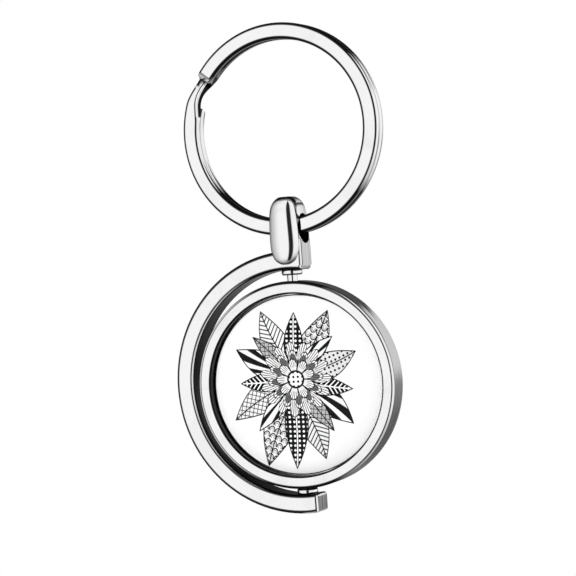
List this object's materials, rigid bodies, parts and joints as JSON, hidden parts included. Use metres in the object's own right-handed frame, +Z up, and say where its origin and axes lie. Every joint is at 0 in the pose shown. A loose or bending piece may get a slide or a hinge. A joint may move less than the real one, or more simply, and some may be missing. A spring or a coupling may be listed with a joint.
{
  "type": "rotating keychain",
  "caption": "Key ring with a half-moon metal frame that holds a round two-sided picture medallion turning on pivot pins.",
  "frame": {"origin": "the point that the ring hangs by, at the top of the split ring's inner edge", "axes": "+Z up along the hanging object, front of the medallion towards -Y, the frame's bar on the -X side"},
  "size_m": [0.0358, 0.0062, 0.0739],
  "materials": {
    "bright_steel": "nickel-plated spring steel wire, tumbled bright",
    "polished_chrome": "cast zinc alloy, polished and chrome plated",
    "printed_plate": "thin metal plate, coated white and printed with black and grey line art",
    "adhesive_tape": "thin double-sided adhesive pad"
  },
  "bodies": {
    "ring": {"split_ring": "bright_steel"},
    "frame": {"half_moon_frame": "polished_chrome", "upper_pivot_pin": "polished_chrome", "lower_pivot_pin": "polished_chrome"},
    "disc": {"disc_rim": "polished_chrome", "front_picture_plate": "printed_plate", "front_adhesive_pad": "adhesive_tape", "back_picture_plate": "printed_plate", "back_adhesive_pad": "adhesive_tape"}
  },
  "joints": [
    {"name": "frame_swing", "type": "hinge", "parent": "ring", "child": "frame", "pos_m": [0, 0, -0.02825], "axis": [1, 0, 0], "range_deg": [-130, 130]},
    {"name": "disc_spin", "type": "hinge", "parent": "frame", "child": "disc", "pos_m": [0, 0, -0.05201], "axis": [0, 0, 1], "continuous": true}
  ]
}
